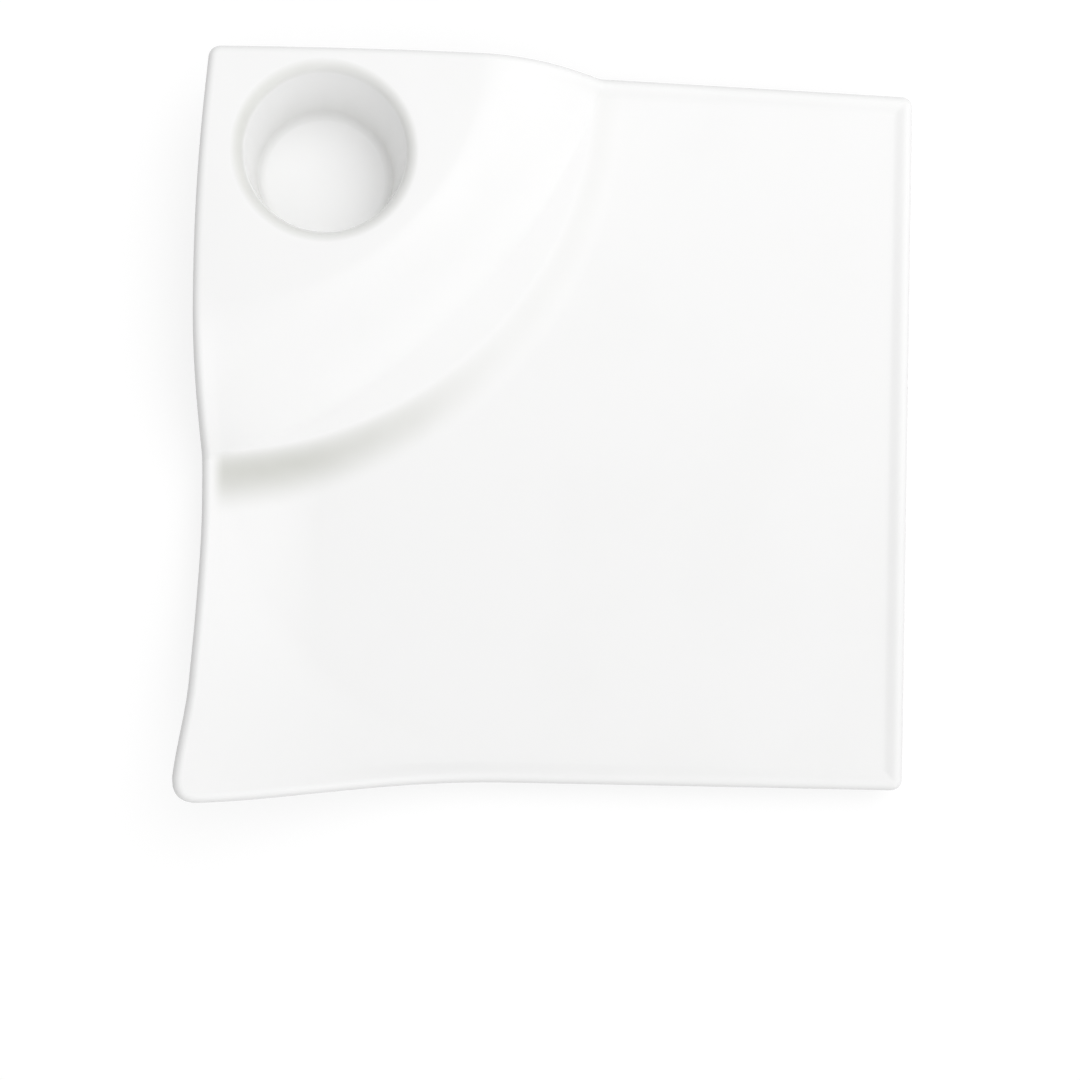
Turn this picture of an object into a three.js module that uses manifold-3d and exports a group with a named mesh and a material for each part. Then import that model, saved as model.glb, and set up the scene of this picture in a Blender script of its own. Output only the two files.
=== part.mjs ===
// A square porcelain plate with a raised corner that holds a round well, and a curled corner in front of it.
// Millimetres, +Z up. x runs to the right and y to the back, and the plate stands on z = 0.
import * as THREE from 'three';
import { mergeVertices } from 'three/addons/utils/BufferGeometryUtils.js';
import Module from 'manifold-3d';

// Driving dimensions of the square and its rim
const WIDTH = 250; // left to right
const DEPTH = 252; // front to back
const RIM_TOP = 15; // crest of the rim over the table
const EDGE_THICK = 6; // thickness of the rounded rim
const BEAD_RUN = 5; // inner flank of the rim, from its crest down to the field
const CORNER_ROUNDS = [1.2, 5, 1.2, 1.2]; // rounding of the crest line: raised, curled, front right, back right
const WALL = 5.4; // thickness of the field and of the raised corner
const UNDER_SHIFT = 2.2; // slopes beneath lie this much further in, which keeps the wall even
const FIELD_DROP = 1; // depth of the field under the crest, beside the rim
const FIELD_SAG = 4.3; // how much deeper it is in the middle, and more to the left of it
const SAG_FADE = 40; // width at the left edge over which that ends
const EDGE_BLEND = 7; // width beneath over which the rim thickens into the wall
const BLEND_SHARE = 0.8; // at most this share of the band
const RIM_BAND = 9; // width of the band of rows that follow the rim

// How far the edges leave the straight square where the corners rise
const LEFT_BULGE = 4.6; // outwards, beside the raised corner
const LEFT_BULGE_REACH = 115; // half the length of that bulge
const LEFT_BULGE_FROM_BACK = 60; // its middle, from the back edge
const FRONT_BULGE = 4.7; // outwards, at the curled corner
const FRONT_BULGE_RUN = 105; // length over which it grows
const BACK_TUCK = 3.1; // inwards, at the raised corner
const BACK_TUCK_RUN = 115;
const TIP_LEAN = 2.2; // outwards to the left, at the curled corner's tip
const TIP_LEAN_RUN = 31;
const BOW_POWER = 4; // how closely these keep to the edges

// The well
const WELL_LIP_R = 32; // where the rounded lip meets the raised corner's top
const WELL_LIP_ROUND = 4.5;
const WELL_FLOOR_R = 24; // foot of the tapered wall
const WELL_LEAN = [-1, -3]; // how far the floor's centre lies to the right and to the back of the lip's
const WELL_FILLET = 3;
const WELL_FLOOR_TOP = 7.5; // over the table
const WELL_WALL = 4.6;
const WELL_FROM_LEFT = 3; // from the crest of the left rim to the lip
const WELL_FROM_BACK = 2.7; // from the crest of the back rim to the lip

// The raised corner, in radii about the square's back left corner.
// Each pair is [at the left edge, at the back edge].
const CORNER_RISE = 22; // its top over the crest of the rim
const PLATEAU_MARGIN = [5, 5]; // from the well's far side to the start of the slope
const SLOPE_RUN = [53, 45];
const SLOPE_TUCK = 17; // how much sooner the slope ends between the two edges
const SLOPE_POWER = 2.1; // 1 for a straight fall along the two edges, more for one that steepens to its foot
const RIDGE_BACK = [3, 4]; // how far the ridge lies before the slope's end
const STEP_RUN = [23, 11]; // from the ridge down to the field
const RIDGE_SOFT = 0.5; // 0 for a sharp ridge, 1 for a soft one

// The curled corner, about the middle of the square
const CURL_RISE = 33;
const CURL_REACH = 58; // from the square's corner to the start of the fold
const CURL_RUN = 66; // over which it would rise all the way
const CURL_HALF_ANGLES = [44, 63]; // degrees from the diagonal: full within the first, gone past the second
const FOLD_RUN = 40; // over which the field's drop fades into the fold

// Foot rings and glaze
const FIELD_FOOT_R = 45; // middle of the tread
const FIELD_FOOT_FROM_RIGHT = 97; // its centre, from the right edge
const FIELD_FOOT_FROM_FRONT = 98; // its centre, from the front edge
const FIELD_FOOT_TREAD = 5;
const WELL_FOOT_R = 18;
const WELL_FOOT_TREAD = 4;
const FOOT_DRAFT = 0.6; // how much wider a ring is at its root, on each side
const GLAZE = 0.4;
const CLEARANCE = 0.3; // between the glaze and what lies beside it

// How finely the faces are divided
const CURL_SPOKES = 12; // spokes that end on the left half of the front
const FRONT_SPOKES = 6; // on its right half
const RIGHT_SPOKES = 10;
const SLOPE_STEPS = 7;
const STEP_STEPS = 4;
const FIELD_STEPS = 8;
const WELL_STEPS = 11; // along each edge beside the well
const CORNER_STEPS = 4;
const ROUND_STEPS = 4;
const QUARTER_STEPS = 2;
const ROUND_SEGMENTS = 64;
const CROSSING_PASSES = 3;
const MERGE_WITHIN = 1e-4;

const { lerp, clamp, smoothstep, degToRad } = THREE.MathUtils;
const EDGE_R = EDGE_THICK / 2;
const HALF_X = WIDTH / 2;
const HALF_Y = DEPTH / 2;
const CREST_X = HALF_X - EDGE_R;
const CREST_Y = HALF_Y - EDGE_R;
const WELL = new THREE.Vector2(
  -HALF_X + EDGE_R + WELL_FROM_LEFT + WELL_LIP_R,
  HALF_Y - EDGE_R - WELL_FROM_BACK - WELL_LIP_R,
);
const BACK_LEFT = new THREE.Vector2(-HALF_X, HALF_Y);
const WELL_BASE = WELL_FLOOR_TOP - WELL_WALL;
const WELL_LIP_Z = RIM_TOP + CORNER_RISE - WELL_LIP_ROUND;
const FOLD_R = Math.hypot(HALF_X, HALF_Y) - CURL_REACH;

// Radii of the raised corner's slope and step at the left edge (0) and at the back edge (1).
const WELL_FAR = BACK_LEFT.distanceTo(WELL) + WELL_LIP_R;
const slopeStart = PLATEAU_MARGIN.map((margin) => WELL_FAR + margin);
const slopeEnd = slopeStart.map((start, i) => start + SLOPE_RUN[i]);
const ridge = slopeEnd.map((end, i) => end - RIDGE_BACK[i]);
const stepFoot = ridge.map((top, i) => top + STEP_RUN[i]);

function cornerRadius(x, y) {
  return Math.hypot(x - BACK_LEFT.x, y - BACK_LEFT.y);
}

// How far a point has turned about the back left corner, from 0 at the left edge to 1 at the back edge.
function cornerTurn(x, y) {
  return clamp(Math.atan2(x - BACK_LEFT.x, BACK_LEFT.y - y) / (Math.PI / 2), 0, 1);
}

// A radius between its two values.
function turned(pair, x, y) {
  return lerp(pair[0], pair[1], cornerTurn(x, y));
}

// 1 on the raised corner and 0 past its slope, which is a soft S between the two edges.
function slopeShare(x, y, shift) {
  const turn = cornerTurn(x, y);
  const offEdges = 4 * turn * (1 - turn);
  const start = turned(slopeStart, x, y);
  const end = turned(slopeEnd, x, y) - SLOPE_TUCK * offEdges;
  const share = clamp((cornerRadius(x, y) + shift - start) / (end - start), 0, 1);
  return 1 - lerp(share ** SLOPE_POWER, smoothstep(share, 0, 1), offEdges);
}

// 0 up to the ridge and 1 from the foot of the step on.
function stepShare(x, y, shift) {
  const top = turned(ridge, x, y);
  const foot = turned(stepFoot, x, y);
  const left = clamp((foot - cornerRadius(x, y) - shift) / (foot - top), 0, 1);
  return 1 - left ** 2 * (1 + 2 * RIDGE_SOFT * (1 - left));
}

// How far a point lies inside the curled corner's sector, from 0 to 1.
function curlSector(x, y) {
  const radius = Math.max(Math.hypot(x, y), 1);
  const [full, gone] = CURL_HALF_ANGLES.map((angle) => Math.cos(degToRad(angle)));
  return smoothstep((-x - y) / (Math.SQRT2 * radius), gone, full);
}

function raisedTop(x, y, shift) {
  const curl = smoothstep(Math.hypot(x, y) - shift, FOLD_R, FOLD_R + CURL_RUN) * curlSector(x, y);
  return RIM_TOP + CORNER_RISE * slopeShare(x, y, shift) + CURL_RISE * curl;
}

// How much deeper the field lies than beside the rim.
function sagAt(x, y) {
  const ends = smoothstep(-x, HALF_X - SAG_FADE, HALF_X);
  return FIELD_SAG * (1 - x / HALF_X) * Math.max(0, 1 - (y / HALF_Y) ** 2) * (1 - ends);
}

// How far a point lies under the crest of the rim and the raised corner, away from the curl.
function depthAt(x, y, shift) {
  const fold = smoothstep(Math.hypot(x, y) - shift, FOLD_R, FOLD_R + FOLD_RUN) * curlSector(x, y);
  const beside = FIELD_DROP * (1 - slopeShare(x, y, shift));
  return (beside + sagAt(x, y) * stepShare(x, y, shift)) * (1 - fold);
}

// bead is 1 on the rim's crest and 0 off its inner flank.
function upperZ(x, y, bead) {
  return raisedTop(x, y, 0) - depthAt(x, y, 0) * (1 - bead);
}

// edge is 1 under the rim's crest and 0 where the wall has its own thickness.
function lowerZ(x, y, edge) {
  return raisedTop(x, y, UNDER_SHIFT) - lerp(depthAt(x, y, UNDER_SHIFT) + WALL, EDGE_THICK, edge);
}

// A point of the straight crest line, moved to where the risen corners take it.
function bowed({ x, y }) {
  const toLeft = clamp(-x / CREST_X, 0, 1) ** BOW_POWER;
  const toFront = clamp(-y / CREST_Y, 0, 1) ** BOW_POWER;
  const toBack = clamp(y / CREST_Y, 0, 1) ** BOW_POWER;
  const along = clamp((y - HALF_Y + LEFT_BULGE_FROM_BACK) / LEFT_BULGE_REACH, -1, 1);
  const tip = smoothstep(-y, CREST_Y - TIP_LEAN_RUN, CREST_Y);
  const curl = smoothstep(-x, CREST_X - FRONT_BULGE_RUN, CREST_X);
  const tuck = clamp((-x - CREST_X + BACK_TUCK_RUN) / BACK_TUCK_RUN, 0, 1) ** 2;
  return new THREE.Vector2(
    x - toLeft * (LEFT_BULGE * (1 - along ** 2) ** 2 + TIP_LEAN * tip),
    y - toFront * FRONT_BULGE * curl - toBack * BACK_TUCK * tuck,
  );
}

// The corners of the straight crest line, anticlockwise from the raised one, and of the border inside its band.
const signs = [[-1, 1], [-1, -1], [1, -1], [1, 1]];
const crestCorners = signs.map(([x, y]) => new THREE.Vector2(x * CREST_X, y * CREST_Y));
const innerX = CREST_X - RIM_BAND;
const innerY = CREST_Y - RIM_BAND;
const innerCorners = signs.map(([x, y]) => new THREE.Vector2(x * innerX, y * innerY));
const [hub, frontLeft, frontRight, backRight] = innerCorners;

// Even values from the first, without the last.
function steps(from, to, count) {
  return Array.from({ length: count }, (_, i) => lerp(from, to, i / count));
}

function pointsBetween(from, to, count) {
  return steps(0, 1, count).map((share) => from.clone().lerp(to, share));
}

// How far from the hub a radius about the back left corner lies.
function crossing(dir, pair) {
  const offset = hub.clone().sub(BACK_LEFT);
  const along = offset.dot(dir);
  let far = 0;
  let radius = pair[0];
  for (let pass = 0; pass < CROSSING_PASSES; pass += 1) {
    far = Math.sqrt(along ** 2 - offset.lengthSq() + radius ** 2) - along;
    radius = turned(pair, hub.x + far * dir.x, hub.y + far * dir.y);
  }
  return far;
}

// Points from the hub's side of the slope, over the step and the field, to the band along the rim.
function spokeTo(end) {
  const dir = end.clone().sub(hub).normalize();
  const [start, top, foot] = [slopeStart, ridge, stepFoot].map((pair) => crossing(dir, pair));
  const places = [...steps(start, top, SLOPE_STEPS), ...steps(top, foot, STEP_STEPS)];
  const slope = places.map((far) => hub.clone().addScaledVector(dir, far));
  const stepEnd = hub.clone().addScaledVector(dir, foot);
  return [...slope, ...pointsBetween(stepEnd, end, FIELD_STEPS), end];
}

const frontMiddle = frontLeft.clone().lerp(frontRight, 0.5);
const frontEnds = [
  ...pointsBetween(frontLeft, frontMiddle, CURL_SPOKES),
  ...pointsBetween(frontMiddle, frontRight, FRONT_SPOKES),
];
const rightEnds = pointsBetween(frontRight, backRight, RIGHT_SPOKES);
const spokes = [...frontEnds, ...rightEnds, backRight].map(spokeTo);

// Places round the rim: a point of the straight crest line, and the point inside the band that belongs to it.
function cornerPlaces(i) {
  const corner = crestCorners[i];
  const towards = (to) => to.clone().sub(corner).setLength(CORNER_ROUNDS[i]).add(corner);
  const bend = new THREE.QuadraticBezierCurve(
    towards(crestCorners[(i + 3) % 4]), corner, towards(crestCorners[(i + 1) % 4]),
  );
  return bend.getPoints(CORNER_STEPS).map((point) => ({ point, inner: innerCorners[i], band: RIM_BAND }));
}

function crestBeside(inner) {
  return new THREE.Vector2(inner.x / (1 - RIM_BAND / CREST_X), inner.y / (1 - RIM_BAND / CREST_Y));
}

function sidePlace(inner) {
  return { point: crestBeside(inner), inner, band: RIM_BAND };
}

// Beside the well the band is narrower.
function wellPlace(point) {
  const band = Math.min(RIM_BAND, (bowed(point).distanceTo(WELL) - WELL_LIP_R) / 2);
  const inner = new THREE.Vector2(point.x * (1 - band / CREST_X), point.y * (1 - band / CREST_Y));
  return { point, inner, band };
}

const leftSpoke = spokes[0];
const backSpoke = spokes[spokes.length - 1];
const raisedCorner = crestCorners[0];
const besideWell = (end) => pointsBetween(raisedCorner, crestBeside(end), WELL_STEPS).slice(1).map(wellPlace);
const besideLeft = besideWell(leftSpoke[0]);
const besideBack = besideWell(backSpoke[0]).reverse();
const rim = [
  ...cornerPlaces(0),
  ...besideLeft,
  ...leftSpoke.slice(0, -1).map(sidePlace),
  ...cornerPlaces(1),
  ...frontEnds.slice(1).map(sidePlace),
  ...cornerPlaces(2),
  ...rightEnds.slice(1).map(sidePlace),
  ...cornerPlaces(3),
  ...backSpoke.slice(0, -1).reverse().map(sidePlace),
  ...besideBack,
];
const inside = ({ inner }) => inner;
const slopeTops = spokes.map((spoke) => spoke[0]);
const aroundWell = [hub, ...besideLeft.map(inside), ...slopeTops, ...besideBack.map(inside)];

function onTop(plan, depth) {
  const { x, y } = bowed(plan);
  return [x, y, upperZ(x, y, 0) - depth];
}

function beneath(plan, depth) {
  const { x, y } = bowed(plan);
  return [x, y, lowerZ(x, y, 0) + depth];
}

// A quarter round about a centre, from one direction to another, as [distance from the axis, height] pairs.
function quarter(far, z, radius, from) {
  return steps(0, 1, QUARTER_STEPS).concat(1).map((share) => {
    const turn = from + (Math.PI / 2) * share;
    return [far + radius * Math.cos(turn), z + radius * Math.sin(turn)];
  });
}

// A point round the well's axis, which leans from the lip down to the floor.
function aboutWell(dir, far, z) {
  const down = clamp((WELL_LIP_Z - z) / (WELL_LIP_Z - WELL_FLOOR_TOP), 0, 1);
  return [WELL.x + WELL_LEAN[0] * down + far * dir.x, WELL.y + WELL_LEAN[1] * down + far * dir.y, z];
}

// From the well's axis over its floor, wall and lip to a point of the raised corner's top.
function wellInside(plan, depth) {
  const dir = bowed(plan).sub(WELL).normalize();
  const floorMiddle = WELL_FLOOR_R - WELL_FILLET;
  const floorRound = quarter(floorMiddle, WELL_FLOOR_TOP + WELL_FILLET, WELL_FILLET + depth, -Math.PI / 2);
  const lipRound = quarter(WELL_LIP_R, WELL_LIP_Z, WELL_LIP_ROUND - depth, Math.PI / 2).reverse();
  const profile = [[0, WELL_FLOOR_TOP - depth], ...floorRound, ...lipRound];
  const points = profile.map(([far, z]) => aboutWell(dir, far, z));
  return [...points, onTop(plan, depth)];
}

// From the same point beneath, down the outside of the well to its axis.
function wellOutside(plan, depth) {
  const dir = bowed(plan).sub(WELL);
  const reach = dir.length();
  dir.normalize();
  const wallTop = Math.min(WELL_LIP_R - WELL_LIP_ROUND + WELL_WALL, reach - 2 * CLEARANCE);
  const hollow = Math.min(wallTop + WELL_FILLET, reach - CLEARANCE);
  const hollowZ = lowerZ(WELL.x + hollow * dir.x, WELL.y + hollow * dir.y, 0);
  const profile = [
    [hollow, hollowZ + depth],
    [wallTop - depth, hollowZ - WELL_FILLET],
    [WELL_FLOOR_R + WELL_WALL * Math.SQRT1_2 - depth, WELL_BASE + WELL_FILLET],
    [WELL_FLOOR_R - depth, WELL_BASE + depth],
    [0, WELL_BASE + depth],
  ];
  const points = profile.map(([far, z]) => aboutWell(dir, far, z));
  return [beneath(plan, depth), ...points];
}

// From the inside of the band over the bead, round the edge and back beneath.
function rimSection({ point, inner, band }, i, depth) {
  const at = (by) => bowed(point.clone().lerp(inner, by / band));
  const flank = Math.min(BEAD_RUN, band / 2);
  const over = [[(band + flank) / 2, 0], [flank, 0], [flank / 2, 0.5]].map(([by, bead]) => {
    const { x, y } = at(by);
    return [x, y, upperZ(x, y, bead) - depth];
  });

  const crest = bowed(point);
  const before = bowed(rim[(i + rim.length - 1) % rim.length].point);
  const along = bowed(rim[(i + 1) % rim.length].point).sub(before).normalize();
  const middleZ = upperZ(crest.x, crest.y, 1) - EDGE_R;
  const round = steps(0, 1, ROUND_STEPS).concat(1).map((share) => {
    const turn = Math.PI / 2 - Math.PI * share;
    const out = (EDGE_R - depth) * Math.cos(turn);
    return [crest.x + along.y * out, crest.y - along.x * out, middleZ + (EDGE_R - depth) * Math.sin(turn)];
  });

  const blend = Math.min(EDGE_BLEND, band * BLEND_SHARE);
  const under = [[blend / 2, 0.5], [blend, 0]].map(([by, edge]) => {
    const { x, y } = at(by);
    return [x, y, lowerZ(x, y, edge) + depth];
  });
  return [onTop(inner, depth), ...over, ...round, ...under, beneath(inner, depth)];
}

// Triangles between neighbouring lines of points.
function strips(lines) {
  const triangles = [];
  for (let i = 1; i < lines.length; i += 1) {
    const here = lines[i - 1];
    const next = lines[i];
    for (let k = 1; k < here.length; k += 1) {
      triangles.push(here[k - 1], here[k], next[k], here[k - 1], next[k], next[k - 1]);
    }
  }
  return triangles;
}

// The plate's whole skin, sunk into it by a depth, as one closed solid.
function skinAt(depth) {
  const closed = (lines) => [...lines, lines[0]];
  const triangles = [
    ...strips(spokes.map((spoke) => spoke.map((plan) => onTop(plan, depth)))),
    ...strips(spokes.map((spoke) => spoke.map((plan) => beneath(plan, depth)))).reverse(),
    ...strips(closed(aroundWell.map((plan) => wellInside(plan, depth)))),
    ...strips(closed(aroundWell.map((plan) => wellOutside(plan, depth)))),
    ...strips(closed(rim.map((place, i) => rimSection(place, i, depth)))),
  ];
  const geometry = new THREE.BufferGeometry();
  geometry.setAttribute('position', new THREE.Float32BufferAttribute(triangles.flat(), 3));
  return solidOf(geometry);
}

const wasm = await Module();
wasm.setup();

// A closed solid from a mesh whose corners are joined and whose flattened triangles are left out.
function solidOf(geometry) {
  const bare = new THREE.BufferGeometry();
  bare.setAttribute('position', geometry.getAttribute('position'));
  if (geometry.index) bare.setIndex(geometry.index);
  const merged = mergeVertices(bare, MERGE_WITHIN);
  const corners = merged.index.array;
  const kept = [];
  for (let i = 0; i < corners.length; i += 3) {
    const [a, b, c] = corners.slice(i, i + 3);
    if (a !== b && b !== c && c !== a) kept.push(a, b, c);
  }
  const mesh = new wasm.Mesh({
    numProp: 3,
    vertProperties: merged.getAttribute('position').array,
    triVerts: new Uint32Array(kept),
  });
  return new wasm.Manifold(mesh);
}

function geometryOf(solid) {
  const { vertProperties, triVerts } = solid.getMesh();
  const geometry = new THREE.BufferGeometry();
  geometry.setAttribute('position', new THREE.Float32BufferAttribute(vertProperties, 3));
  geometry.setIndex([...triVerts]);
  return geometry;
}

// A bare foot ring, wider at its root inside the wall, standing on the table.
function footRing({ centre, radius, tread, root }) {
  const half = tread / 2;
  const outline = [
    [radius - half, 0],
    [radius + half, 0],
    [radius + half + FOOT_DRAFT, root],
    [radius - half - FOOT_DRAFT, root],
    [radius - half, 0],
  ].map(([r, z]) => new THREE.Vector2(r, z));
  const ring = new THREE.LatheGeometry(outline, ROUND_SEGMENTS);
  return ring.rotateX(Math.PI / 2).translate(centre.x, centre.y, 0);
}

// A round cutter up to a foot's root, which takes the glaze beneath the plate and none above it.
function underCutter({ centre, root }, radius) {
  const cutter = new THREE.CylinderGeometry(radius, radius, 2 * root, ROUND_SEGMENTS);
  return solidOf(cutter.rotateX(Math.PI / 2).translate(centre.x, centre.y, 0));
}

const fieldFoot = new THREE.Vector2(HALF_X - FIELD_FOOT_FROM_RIGHT, -HALF_Y + FIELD_FOOT_FROM_FRONT);
const feet = [
  {
    centre: fieldFoot,
    radius: FIELD_FOOT_R,
    tread: FIELD_FOOT_TREAD,
    root: (upperZ(fieldFoot.x, fieldFoot.y, 0) + lowerZ(fieldFoot.x, fieldFoot.y, 0)) / 2,
    patch: 'field_foot_glaze',
  },
  {
    centre: new THREE.Vector2(WELL.x + WELL_LEAN[0], WELL.y + WELL_LEAN[1]),
    radius: WELL_FOOT_R,
    tread: WELL_FOOT_TREAD,
    root: (WELL_FLOOR_TOP + WELL_BASE) / 2,
    patch: 'well_foot_glaze',
  },
];

const porcelain = { color: 0xe9e6df, roughness: 0.75, metalness: 0 };
const glaze = { color: 0xf6f6f3, roughness: 0.12, metalness: 0 };

const plate = new THREE.Group();
// The origin is the middle of the plate's box, so half of each one-sided bulge is taken up here.
plate.position.set(LEFT_BULGE / 2, FRONT_BULGE / 2, 0);

function addPiece(name, solid, finish) {
  const piece = new THREE.Mesh(geometryOf(solid), new THREE.MeshStandardMaterial(finish));
  piece.name = name;
  plate.add(piece);
}

let body = skinAt(GLAZE + CLEARANCE);
const wholeCoat = skinAt(0).subtract(skinAt(GLAZE));
let coat = wholeCoat;
for (const foot of feet) {
  const beside = foot.tread / 2 + FOOT_DRAFT + CLEARANCE;
  body = body.add(solidOf(footRing(foot)));
  coat = coat.subtract(underCutter(foot, foot.radius + beside));
  const patch = wholeCoat.intersect(underCutter(foot, foot.radius - beside));
  addPiece(foot.patch, patch, glaze);
}
addPiece('porcelain_body', body, porcelain);
addPiece('glaze_coat', coat, glaze);

export default plate;
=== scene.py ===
# %% [markdown]
# # A square porcelain plate
# The plate is one fired piece with a glaze over it. Its back left corner is raised and holds a round well, and
# its front left corner curls up. This lesson lays a flat pattern of the plate, lets a node tree press it into
# shape, and then finishes it with a glaze, bare foot rings, soft light and a camera almost straight above it.
# Lengths are in metres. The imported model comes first, because every piece has to sit in its frame.

import bpy
import numpy as np
from mathutils import Matrix, Vector


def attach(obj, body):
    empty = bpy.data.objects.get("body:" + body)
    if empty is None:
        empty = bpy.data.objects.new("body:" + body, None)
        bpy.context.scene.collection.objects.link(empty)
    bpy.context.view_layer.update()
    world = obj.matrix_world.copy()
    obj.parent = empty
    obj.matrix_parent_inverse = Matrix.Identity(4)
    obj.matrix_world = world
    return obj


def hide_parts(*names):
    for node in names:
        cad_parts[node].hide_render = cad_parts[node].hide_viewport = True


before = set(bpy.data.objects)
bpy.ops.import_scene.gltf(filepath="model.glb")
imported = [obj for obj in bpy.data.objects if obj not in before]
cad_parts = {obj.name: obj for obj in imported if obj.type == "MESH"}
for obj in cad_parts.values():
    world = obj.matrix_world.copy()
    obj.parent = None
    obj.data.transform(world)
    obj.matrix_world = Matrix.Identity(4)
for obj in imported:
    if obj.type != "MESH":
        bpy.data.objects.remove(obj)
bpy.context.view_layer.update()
MM = 0.001
print("solids in the frame:", sorted(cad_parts))

# %% [markdown]
# ## Writing node trees as sums
# Both the pressing and the finishes are long sums. Placing every Math node by hand would hide what they say, so
# one small class stands for a socket, and plus, minus, times and divide on it add the Math nodes. Every other
# node comes from its one method, which sets the node up first and then fills or links its inputs.

# %% The socket class
MIX_FIRST, MIX_SECOND, MIX_RESULT = 6, 7, 2  # the Mix node's colour sockets share their names with others


class Wire:
    """An output in a node tree. Sums on it add Math nodes to that tree."""

    def __init__(self, tree, socket=None):
        self.tree = tree
        self.socket = socket

    def node(self, kind, settings=None, inputs=None, output=0):
        made = self.tree.nodes.new(kind)
        for name, value in (settings or {}).items():
            setattr(made, name, value)
        for name, value in (inputs or {}).items():
            if isinstance(value, Wire):
                value.feed(made, name)
            else:
                made.inputs[name].default_value = value
        return Wire(self.tree, made.outputs[output])

    def feed(self, node, name):
        """Links this output to an input of a node."""
        self.tree.links.new(self.socket, node.inputs[name])

    def math(self, operation, *others):
        return self.node("ShaderNodeMath", {"operation": operation}, dict(enumerate((self, *others))))

    def straight(self, low, high, kind="LINEAR"):
        """0 at low, 1 at high, and a straight line between them."""
        inputs = {"Value": self, "From Min": low, "From Max": high}
        return self.node("ShaderNodeMapRange", {"interpolation_type": kind}, inputs)

    def smooth(self, low, high):
        """The same with a soft S between them."""
        return self.straight(low, high, "SMOOTHSTEP")

    def colour(self, first, second):
        """The first colour where this is 0, and the second where it is 1."""
        inputs = {"Factor": self, MIX_FIRST: first, MIX_SECOND: second}
        return self.node("ShaderNodeMix", {"data_type": "RGBA"}, inputs, MIX_RESULT)

    def __add__(self, other):
        return self.math("ADD", other)

    def __sub__(self, other):
        return self.math("SUBTRACT", other)

    def __mul__(self, other):
        return self.math("MULTIPLY", other)

    def __truediv__(self, other):
        return self.math("DIVIDE", other)

    def __rsub__(self, other):
        return self.node("ShaderNodeMath", {"operation": "SUBTRACT"}, {0: other, 1: self})

    __radd__ = __add__
    __rmul__ = __mul__


# %% [markdown]
# ## The plan of the plate
# Seen from above, the plate is a square whose edges bow a little where its two left corners rise. The outline
# could be drawn by hand, but a rule keeps every row of the mesh in step with it. Plan points are complex
# numbers here, x to the right and y to the back, because turning and measuring them is then plain arithmetic.
# All rows keep to the straight square, and the bowing moves them at the end.

# %% The square and its bowed edges
WIDTH = 250 * MM
DEPTH = 252 * MM
EDGE_THICK = 6 * MM
LEFT_BULGE = 4.6 * MM
LEFT_BULGE_REACH = 115 * MM
LEFT_BULGE_FROM_BACK = 60 * MM
FRONT_BULGE = 4.7 * MM
FRONT_BULGE_RUN = 105 * MM
BACK_TUCK = 3.1 * MM
BACK_TUCK_RUN = 115 * MM
TIP_LEAN = 2.2 * MM
TIP_LEAN_RUN = 31 * MM
BOW_POWER = 4

CREST = complex(WIDTH - EDGE_THICK, DEPTH - EDGE_THICK) / 2
BACK_LEFT = complex(-WIDTH, DEPTH) / 2


def soft_step(value, low, high):
    share = np.clip((value - low) / (high - low), 0, 1)
    return share * share * (3 - 2 * share)


def bowed(plan):
    """Moves points of the straight square to where they are on the plate."""
    x, y = plan.real, plan.imag
    to_left = np.clip(-x / CREST.real, 0, 1) ** BOW_POWER
    to_front = np.clip(-y / CREST.imag, 0, 1) ** BOW_POWER
    to_back = np.clip(y / CREST.imag, 0, 1) ** BOW_POWER
    along = np.clip((y - DEPTH / 2 + LEFT_BULGE_FROM_BACK) / LEFT_BULGE_REACH, -1, 1)
    tip = soft_step(-y, CREST.imag - TIP_LEAN_RUN, CREST.imag)
    curl = soft_step(-x, CREST.real - FRONT_BULGE_RUN, CREST.real)
    tuck = np.clip((-x - CREST.real + BACK_TUCK_RUN) / BACK_TUCK_RUN, 0, 1) ** 2
    left = to_left * (LEFT_BULGE * (1 - along ** 2) ** 2 + TIP_LEAN * tip)
    return plan - left - 1j * (to_front * FRONT_BULGE * curl + to_back * BACK_TUCK * tuck)


print("straight square in mm:", WIDTH / MM, "by", DEPTH / MM)

# %% [markdown]
# ## The raised corner and its well, in plan
# The raised corner's slope and the step below it are arcs about the square's back left corner. An arc is a pair
# of radii, the first at the left edge and the second at the back edge, because the slope and the step are wider
# at the left. The well stands inside the first arc.

# %% Radii of the arcs and the place of the well
WELL_LIP_R = 32 * MM
WELL_FROM_LEFT = 3 * MM
WELL_FROM_BACK = 2.7 * MM
PLATEAU_MARGIN = np.array([5, 5]) * MM
SLOPE_RUN = np.array([53, 45]) * MM
RIDGE_BACK = np.array([3, 4]) * MM
STEP_RUN = np.array([23, 11]) * MM

WELL = complex(-CREST.real + WELL_FROM_LEFT + WELL_LIP_R, CREST.imag - WELL_FROM_BACK - WELL_LIP_R)
slope_start = abs(WELL - BACK_LEFT) + WELL_LIP_R + PLATEAU_MARGIN
slope_end = slope_start + SLOPE_RUN
ridge = slope_end - RIDGE_BACK
step_foot = ridge + STEP_RUN
print("slope, ridge and step in mm:", slope_start / MM, slope_end / MM, ridge / MM, step_foot / MM)

# %% [markdown]
# ## Spokes
# Points are laid along spokes that fan out from just inside the raised corner to the front and the right. A
# plain grid would be simpler, but it would cut the slope and the step at a slant. Along spokes, rows follow
# those arcs, and the first and the last spoke follow the left and the back edge.

# %% Where the spokes start and end
RIM_BAND = 9 * MM
FRONT_SPOKES = 120
RIGHT_SPOKES = 90


def inner_corner(to_right, to_back):
    return complex(to_right * (CREST.real - RIM_BAND), to_back * (CREST.imag - RIM_BAND))


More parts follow.
